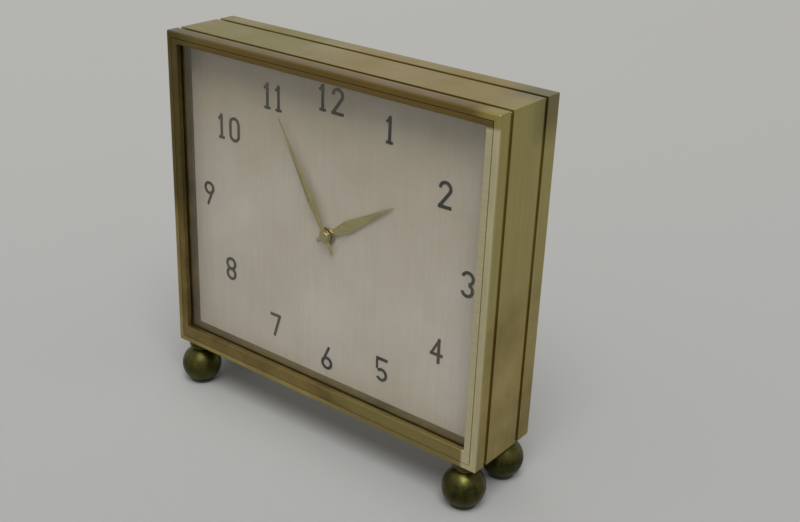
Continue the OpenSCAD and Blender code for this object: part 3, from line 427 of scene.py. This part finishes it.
# Painted shade: the colour grows darker and warmer towards the top of the dial.
height = add_node(silver, "MapRange", {
    "Value": add_node(silver, "SeparateXYZ", {"Vector": place}).outputs["Z"],
    "From Min": dial_z, "From Max": open_hi.z, "To Max": 0.7})
aged_and_painted_top_shade = add_node(silver, "Math", {
    0: tone.outputs["Result"], 1: height.outputs["Result"]}, operation="ADD")
colour = add_node(silver, "Mix", {
    0: aged_and_painted_top_shade.outputs["Value"], 6: linear("#dacabf"), 7: linear("#c2b098")},
    data_type="RGBA")
grain = add_node(silver, "MapRange", {
    "Value": rubbed.outputs["Fac"], "From Min": 0.3, "From Max": 0.7,
    "To Min": 0.94, "To Max": 1})
grained = add_node(silver, "Mix", {
    0: 1.0, 6: colour.outputs[2], 7: grain.outputs["Result"]},
    data_type="RGBA", blend_type="MULTIPLY")
sheen = add_node(silver, "MapRange", {
    "Value": aged.outputs["Fac"], "To Min": 0.42, "To Max": 0.6})
relief = add_node(silver, "Bump", {
    "Strength": 0.1, "Distance": 0.02 * MM, "Height": rubbed.outputs["Fac"]})
drive(silver, shader, Base_Color=grained.outputs[2], Roughness=sheen.outputs["Result"],
      Normal=relief.outputs["Normal"])
dress(dial, silver, "case", "dial_silver", "dial")

# Hour figures: cut from thin sheet, with their edges rounded by polishing, and riveted to the
# dial. They have darkened unevenly, some nearly black and some the brown of old gold.
only(frame["nodes"]["numerals"])
bpy.ops.object.duplicate()
figures = bpy.context.object
figures.parent = None
for key in list(figures.keys()):
    del figures[key]
settle(figures, "hour_figures")
edit(figures)
bpy.ops.mesh.remove_doubles(threshold=1e-6)
bpy.ops.mesh.dissolve_limited(angle_limit=radians(2))
done()
round_edges(figures, 0.025 * MM)
figure_metal, shader = finish("polished figure metal", {"Metallic": 1.0})
place = add_node(figure_metal, "TexCoord", {}).outputs["Object"]
patches = add_node(figure_metal, "TexNoise", {"Vector": place, "Scale": 42, "Detail": 1})
patch = add_node(figure_metal, "MapRange", {
    "Value": patches.outputs["Fac"], "From Min": 0.4, "From Max": 0.6})
colour = add_node(figure_metal, "Mix", {
    0: patch.outputs["Result"], 6: linear("#1d1b14"), 7: linear("#544a2d")}, data_type="RGBA")
fine = add_node(figure_metal, "TexNoise", {"Vector": place, "Scale": 900, "Detail": 2})
gloss = add_node(figure_metal, "MapRange", {
    "Value": fine.outputs["Fac"], "To Min": 0.25, "To Max": 0.4})
drive(figure_metal, shader, Base_Color=colour.outputs[2], Roughness=gloss.outputs["Result"])
dress(figures, figure_metal, "case", "numeral_metal", "numerals")

# Movement and what holds it, closed in by the case: brass plates and wheels ground fine,
# steel arbors and click work, blued screws, ruby pallets and a rolled steel spring. These
# keep the shapes of the frame and get their finishes here.
works_brass = worked_metal(
    "fine ground movement brass", "#d1bb7c", "#b09a5e", 0.3, (60, 60, 1500), 9 * MM, 0.15)
bright_steel = worked_metal(
    "polished steel", "#c9cac8", "#a9aaa6", 0.22, (900, 60, 60), 7 * MM, 0.1)
blued_steel = worked_metal(
    "heat blued steel", "#3a4d86", "#2c3560", 0.24, (500, 500, 60), 3 * MM, 0.1)
rolled_steel = worked_metal(
    "rolled spring steel", "#84888d", "#6d7076", 0.34, (60, 1500, 60), 6 * MM, 0.2)
ruby, shader = finish("synthetic ruby", {"Roughness": 0.08, "IOR": 1.77, "Coat Weight": 0.3})
cloud = add_node(ruby, "TexNoise", {
    "Vector": add_node(ruby, "TexCoord", {}).outputs["Object"], "Scale": 1500})
red = add_node(ruby, "Mix", {
    0: cloud.outputs["Fac"], 6: linear("#8c1030"), 7: linear("#b81c48")}, data_type="RGBA")
drive(ruby, shader, Base_Color=red.outputs[2])
works_finish = {
    "movement_brass": works_brass, "bright_steel": bright_steel, "blued_steel": blued_steel,
    "spring_steel": rolled_steel, "ruby": ruby, "case_brass": band_brass_painted_light,
}
for part in frame["record"]["subparts"]:
    if part["material_slot"] in works_finish:
        cad_node = frame["nodes"][part["node"]]
        cad_node.data.materials.clear()
        cad_node.data.materials.append(works_finish[part["material_slot"]])

# Hands: sawn from gilt brass sheet, each with a ridge filed along its middle and its point
# brought to nothing, and a round boss that is pressed on its pipe. They stand at five to two.
minute_turn, hour_turn = 330, 57.5
ridge_h, tip_half, waist_half, tail_half = 0.26 * MM, 0.06 * MM, 0.55 * MM, 0.6 * MM


def hand(name, node, length, width, turn, boss, bore):
    """Shaped upright about the dial's centre, then turned clockwise and put in its place."""
    start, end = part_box(node)[0].y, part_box(node)[1].y
    tail = -0.16 * length
    shoulder = 0.3 * length
    piece = block(name, (-width / 2, start, tail), (width / 2, end, length))
    cut((0, 0, 0), (1, 0, 0))
    cut((0, 0, shoulder), (0, 0, 1))
    cut((0, 0, 0), (0, 0, 1))
    for row, half in ((length, tip_half), (0, waist_half), (tail, tail_half)):
        pick(piece, "VERT", lambda v: near(v.co.z, row))
        bpy.ops.transform.resize(value=(2 * half / width, 1, 1), center_override=(0, start, row))
    pick(piece, "VERT", lambda v: near(v.co.y, start) and abs(v.co.x) > 1e-6)
    bpy.ops.transform.translate(value=(0, ridge_h, 0))
    done()
    take(piece, bar("boss", 0, 0, boss, start, end), "UNION")
    take(piece, bar("bore", 0, 0, bore, start - MM, end + MM))
    piece.rotation_euler = (0, radians(turn), 0)
    piece.location = (0, 0, dial_z)
    settle(piece, name)
    round_edges(piece, 0.03 * MM)
    return piece


gilt, shader = finish("polished gilt brass", {"Metallic": 1.0})
place = add_node(gilt, "TexCoord", {}).outputs["Object"]
worn = add_node(gilt, "TexNoise", {"Vector": place, "Scale": 240, "Detail": 4})
colour = add_node(gilt, "Mix", {
    0: worn.outputs["Fac"], 6: linear("#c9b777"), 7: linear("#a8955a")}, data_type="RGBA")
gloss = add_node(gilt, "MapRange", {
    "Value": worn.outputs["Fac"], "To Min": 0.2, "To Max": 0.36})
drive(gilt, shader, Base_Color=colour.outputs[2], Roughness=gloss.outputs["Result"])
hour_hand = hand(
    "hour_hand_gilt", "hour_hand", 27.5 * MM, 3.6 * MM, hour_turn, 2.6 * MM, 1.7 * MM)
dress(hour_hand, gilt, "hour_hand_wheel", "hand_gilt", "hour_hand")
minute_hand = hand(
    "minute_hand_gilt", "minute_hand", 35.5 * MM, 2.7 * MM, minute_turn, 2 * MM, 1.1 * MM)
dress(minute_hand, gilt, "minute_hand_arbor", "hand_gilt", "minute_hand")

# Hand nut: a small turned cap of the same gilt brass, rounded at the front.
nut_lo, nut_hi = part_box("hand_nut")
nut_cap, nut_bore_r = 0.25 * MM, 1.1 * MM
nut = bar("hand_nut_gilt", 0, dial_z, nut_hi.x, nut_lo.y, nut_hi.y, 32)
edit(nut)
pick(nut, "EDGE", lambda e: all(near(v.co.y, nut_lo.y) for v in e.verts))
bpy.ops.mesh.bevel(offset=0.3 * MM, segments=4, affect="EDGES")
done()
take(nut, bar("bore", 0, dial_z, nut_bore_r, nut_lo.y + nut_cap, nut_hi.y + MM, 32))
round_edges(nut, 0.03 * MM)
dress(nut, gilt, "minute_hand_arbor", "hand_gilt", "hand_nut")

# Feet: balls turned from brass rod in one piece with a neck and a collar, and cut flat below
# for the felts. They are much darker than the case.
foot_d, neck_d, collar_d, collar_t = 12.4 * MM, 5 * MM, 7.4 * MM, 1.4 * MM
felt_t, centre_rise = 0.6 * MM, 0.42 * foot_d
foot_brass = worked_metal(
    "turned brass, darkened", "#605d30", "#35341a", 0.4, (60, 60, 1800), 5 * MM, 0.25)
for node_name in ("foot_front_left", "foot_front_right", "foot_rear_left", "foot_rear_right"):
    foot_lo, foot_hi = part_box(node_name)
    x, y = (foot_lo.x + foot_hi.x) / 2, (foot_lo.y + foot_hi.y) / 2
    ball_z = felt_t + centre_rise
    neck_z = ball_z + ((foot_d / 2) ** 2 - (neck_d / 2) ** 2) ** 0.5
    bpy.ops.object.select_all(action="DESELECT")
    bpy.ops.mesh.primitive_uv_sphere_add(
        segments=48, ring_count=28, radius=foot_d / 2, location=(x, y, ball_z))
    foot = settle(bpy.context.object, node_name + "_ball")
    edit(foot)
    cut((0, 0, felt_t), (0, 0, 1), clear_inner=True, use_fill=True)
    cut((0, 0, neck_z), (0, 0, 1), clear_outer=True)
    collar_z = case_lo.z - collar_t
    for rise, grow in ((collar_z - neck_z, 1), (0, collar_d / neck_d), (collar_t, 1)):
        pick(foot, "EDGE", lambda e: e.is_boundary)
        bpy.ops.mesh.extrude_edges_move()
        bpy.ops.transform.translate(value=(0, 0, rise))
        bpy.ops.transform.resize(value=(grow, grow, 1), center_override=(x, y, 0))
    pick(foot, "EDGE", lambda e: e.is_boundary)
    bpy.ops.mesh.edge_face_add()
    bpy.ops.mesh.select_all(action="SELECT")
    bpy.ops.mesh.normals_make_consistent(inside=False)
    done()
    round_edges(foot, 0.18 * MM, 3)
    dress(foot, foot_brass, "case", "foot_brass", node_name)

# Felts: punched from pressed wool felt and glued under the feet, a little soft at the edge.
# Real fibres are some 0.02 mm thick, and these are drawn coarser, so that the felt looks matt.
felt, shader = finish("pressed wool felt", {"Roughness": 1.0, "Sheen Weight": 0.4})
place = add_node(felt, "TexCoord", {}).outputs["Object"]
fibres = add_node(felt, "TexNoise", {"Vector": place, "Scale": 2500, "Detail": 4})
colour = add_node(felt, "Mix", {
    0: fibres.outputs["Fac"], 6: linear("#22251f"), 7: linear("#474b40")}, data_type="RGBA")
relief = add_node(felt, "Bump", {
    "Strength": 0.6, "Distance": 0.1 * MM, "Height": fibres.outputs["Fac"]})
drive(felt, shader, Base_Color=colour.outputs[2], Normal=relief.outputs["Normal"])
felt_lo, felt_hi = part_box("foot_felts")
felt_r = 0.31 * foot_d
discs = []
for x in (felt_lo.x + felt_r, felt_hi.x - felt_r):
    for y in (felt_lo.y + felt_r, felt_hi.y - felt_r):
        bpy.ops.object.select_all(action="DESELECT")
        bpy.ops.mesh.primitive_cylinder_add(
            vertices=48, radius=felt_r, depth=felt_t, location=(x, y, felt_t / 2))
        disc = settle(bpy.context.object, "felt_disc")
        edit(disc)
        pick(disc, "FACE", lambda f: abs(f.normal.z) > 0.9)
        bpy.ops.mesh.inset(thickness=0.5 * MM)
        done()
        round_edges(disc, 0.15 * MM, 3)
        discs.append(disc)
only(discs[0])
for disc in discs:
    disc.select_set(True)
bpy.ops.object.join()
felts = settle(bpy.context.object, "foot_felts_pressed")
dress(felts, felt, "case", "felt", "foot_felts")

# Back cover: 1.2 mm brass plate that lies in the band, drilled for the winding key and the
# setting arbor, with a curved slot through which the regulator is moved.
cover_lo, cover_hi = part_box("back_cover")
key_lo, key_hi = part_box("winding_key")
knob_lo, knob_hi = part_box("setting_knob")
barrel_x, barrel_z = (key_lo.x + key_hi.x) / 2, (key_lo.z + key_hi.z) / 2
knob_x, knob_z = (knob_lo.x + knob_hi.x) / 2, (knob_lo.z + knob_hi.z) / 2
balance_lo, balance_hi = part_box("balance_wheel")
balance_x, balance_z = (balance_lo.x + balance_hi.x) / 2, (balance_lo.z + balance_hi.z) / 2
slot_r, slot_w, slot_from, slot_to = 9 * MM, 1.8 * MM, 70, 110
key_hole_r, arbor_hole_r = 3.2 * MM, 1.7 * MM
cover = block("back_cover_plate", cover_lo, cover_hi)
for x in (barrel_x, knob_x, balance_x):
    cut((x, 0, 0), (1, 0, 0))
done()
for x, z, radius in ((barrel_x, barrel_z, key_hole_r), (knob_x, knob_z, arbor_hole_r)):
    take(cover, bar("hole", x, z, radius, cover_lo.y - MM, cover_hi.y + MM))
slot = bar("slot", balance_x, balance_z, slot_r + slot_w / 2, cover_lo.y - MM, cover_hi.y + MM)
take(slot, bar(
    "core", balance_x, balance_z, slot_r - slot_w / 2, cover_lo.y - 2 * MM, cover_hi.y + 2 * MM))
edit(slot)
for angle, side in ((slot_from, "clear_inner"), (slot_to, "clear_outer")):
    cut((balance_x, 0, balance_z), (-sin(radians(angle)), 0, cos(radians(angle))),
        use_fill=True, **{side: True})
done()
take(cover, slot)
round_edges(cover, 0.12 * MM)
cover_brass = worked_metal(
    "lacquered brass, ground across the cover", "#b6a463", "#96844b", 0.34, (30, 30, 2600))
dress(cover, cover_brass, "case", "case_brass", "back_cover")

# Cover screws: slotted steel cheese heads of 2.2 mm with a rounded rim, whose shanks go
# through the cover into the frame behind it.
screws_lo, screws_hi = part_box("back_cover_screws")
head_r, head_t, shank_r = 1.1 * MM, 0.8 * MM, 0.6 * MM
nick_t, nick_w, nick_turn = 0.35 * MM, 0.4 * MM, -35
heads = []
for x in (screws_lo.x + head_r, screws_hi.x - head_r):
    for z in (screws_lo.z + head_r, screws_hi.z - head_r):
        head = bar("screw", x, z, head_r, cover_hi.y, cover_hi.y + head_t, 32)
        edit(head)
        pick(head, "EDGE", lambda e: all(near(v.co.y, cover_hi.y + head_t) for v in e.verts))
        bpy.ops.mesh.bevel(offset=0.2 * MM, segments=3, affect="EDGES")
        done()
        take(head, bar("shank", x, z, shank_r, screws_lo.y, cover_hi.y + 0.1 * MM, 24), "UNION")
        nick = block(
            "nick", (-2 * head_r, cover_hi.y + head_t - nick_t, -nick_w / 2),
            (2 * head_r, cover_hi.y + 2 * head_t, nick_w / 2))
        done()
        nick.rotation_euler = (0, radians(nick_turn), 0)
        nick.location = (x, 0, z)
        take(head, settle(nick, "nick"))
        round_edges(head, 0.03 * MM)
        heads.append(head)
only(heads[0])
for head in heads:
    head.select_set(True)
bpy.ops.object.join()
screws = settle(bpy.context.object, "back_cover_screw_set")
dress(screws, bright_steel, "case", "bright_steel", "back_cover_screws")

# Winding key: a turned brass hub with a flat wing across it and a bead at each end of the
# wing, brazed together, which sits on the square of the barrel arbor.
hub_r, wing_t, wing_w, wing_h = 2.6 * MM, 1.6 * MM, 16 * MM, 4.6 * MM
dip, square_t, square_half, key_turn = 0.8 * MM, 2 * MM, 0.95 * MM, 20
wing_at, hub_end = key_lo.y + square_t, key_hi.y - wing_h / 3
bead_x = wing_w / 2 - wing_t
key = block("winding_key_brass", (-bead_x, wing_at, -wing_t / 2), (bead_x, key_hi.y, wing_t / 2))
cut((-hub_r, 0, 0), (1, 0, 0))
cut((hub_r, 0, 0), (1, 0, 0))
pick(key, "FACE", lambda f: f.normal.y > 0.9 and abs(middle(f).x) < hub_r)
bpy.ops.transform.translate(value=(0, -dip, 0))
done()
for x in (-bead_x, bead_x):
    bead = bar("bead", x, 0, wing_t, wing_at, key_hi.y, 32)
    edit(bead)
    pick(bead, "FACE", lambda f: abs(f.normal.y) > 0.9)
    bpy.ops.mesh.bevel(offset=0.5 * MM, segments=4, affect="EDGES")
    done()
    take(key, bead, "UNION")
take(key, bar("hub", 0, 0, hub_r, key_lo.y, hub_end, 48), "UNION")
square = block("square", (-square_half, key_lo.y - MM, -square_half),
               (square_half, key_lo.y + square_t, square_half))
done()
take(key, square)
key.rotation_euler = (0, radians(key_turn), 0)
key.location = (barrel_x, 0, barrel_z)
settle(key, "winding_key_brass")
round_edges(key, 0.12 * MM, 3)
key_brass = worked_metal(
    "polished key brass", "#c4b274", "#8f804f", 0.28, (60, 1200, 60), 8 * MM, 0.15)
dress(key, key_brass, "winding_shaft", "case_brass", "winding_key")

# Setting knob: turned brass with 24 flutes milled round it and a dished end, pushed on the
# setting arbor. A plain step keeps the flutes off the cover.
knob_r, step_t, step_in, flutes = 4.5 * MM, 0.6 * MM, 0.8 * MM, 24
knob_rim, dish_slope, dish = 1.1 * MM, 0.5 * MM, 0.4 * MM
flute_gap, flute_to = 0.06 * MM, 0.955
knob_bore_r, knob_end_t = 0.95 * MM, 0.9 * MM


def side_number(side):
    """Which of the knob's flat sides this is, counted round it."""
    p = middle(side)
    return round(degrees(atan2(p.z - knob_z, p.x - knob_x)) * flutes / 180 - 0.5)


knob = bar(
    "setting_knob_brass", knob_x, knob_z, knob_r, knob_lo.y + step_t, knob_hi.y, 2 * flutes)
edit(knob)
pick(knob, "FACE", lambda f: f.normal.y > 0.9)
bpy.ops.mesh.inset(thickness=knob_rim)
bpy.ops.mesh.inset(thickness=dish_slope)
bpy.ops.transform.translate(value=(0, -dish, 0))
pick(knob, "FACE", lambda f: abs(f.normal.y) < 0.1 and side_number(f) % 2 == 0)
bpy.ops.mesh.inset(thickness=flute_gap, use_individual=True)
bpy.ops.transform.resize(value=(flute_to, 1, flute_to), center_override=(knob_x, 0, knob_z))
done()
take(knob, bar(
    "step", knob_x, knob_z, knob_r - step_in, knob_lo.y, knob_lo.y + MM, 48), "UNION")
take(knob, bar(
    "bore", knob_x, knob_z, knob_bore_r, knob_lo.y - MM, knob_hi.y - knob_end_t, 32))
round_edges(knob, 0.06 * MM)
dress(knob, key_brass, "setting_shaft", "case_brass", "setting_knob")

# Floor: a sheet of pale grey matt card that runs far past the view, with painted light that
# makes it a little paler in the distance, on the far left.
floor_w, painted_light_far_left = 6, (-0.72, 0.69, 0)
bpy.ops.object.select_all(action="DESELECT")
bpy.ops.mesh.primitive_plane_add(size=floor_w, location=(0, 0, 0))
floor = settle(bpy.context.object, "pale_floor")
card, shader = finish("pale matt card, with painted light far off", {"Roughness": 0.9, "Specular IOR Level": 0.2})
along = add_node(card, "VectorMath", {
    0: add_node(card, "TexCoord", {}).outputs["Object"], 1: painted_light_far_left},
    operation="DOT_PRODUCT")
away = add_node(card, "MapRange", {
    "Value": along.outputs["Value"], "From Min": -0.1, "From Max": 0.8})
colour = add_node(card, "Mix", {
    0: away.outputs["Result"], 6: linear("#a4a4a3"), 7: linear("#c0bfb9")}, data_type="RGBA")
drive(card, shader, Base_Color=colour.outputs[2])
floor.data.materials.append(card)

# Light: an even pale room, and a broad soft lamp high up on the right and in front, so that
# the clock's shadow is soft and lies close round its feet.
world = bpy.context.scene.world or bpy.data.worlds.new("room")
bpy.context.scene.world = world
world.use_nodes = True
room = world.node_tree.nodes["Background"]
room.inputs["Color"].default_value = linear("#c4c4c4")
room.inputs["Strength"].default_value = 1.06


def lamp(name, place, aim, size, power):
    bpy.ops.object.select_all(action="DESELECT")
    turn = (Vector(aim) - Vector(place)).to_track_quat("-Z", "Y").to_euler()
    bpy.ops.object.light_add(type="AREA", location=place, rotation=turn)
    made = bpy.context.object
    made.name = name
    made.data.shape = "DISK"
    made.data.size = size
    made.data.energy = power


lamp("softbox above", (0.6, -0.8, 1.9), (0, 0, 0.05), 1.3, 29)
bpy.context.scene.view_settings.view_transform = "Standard"
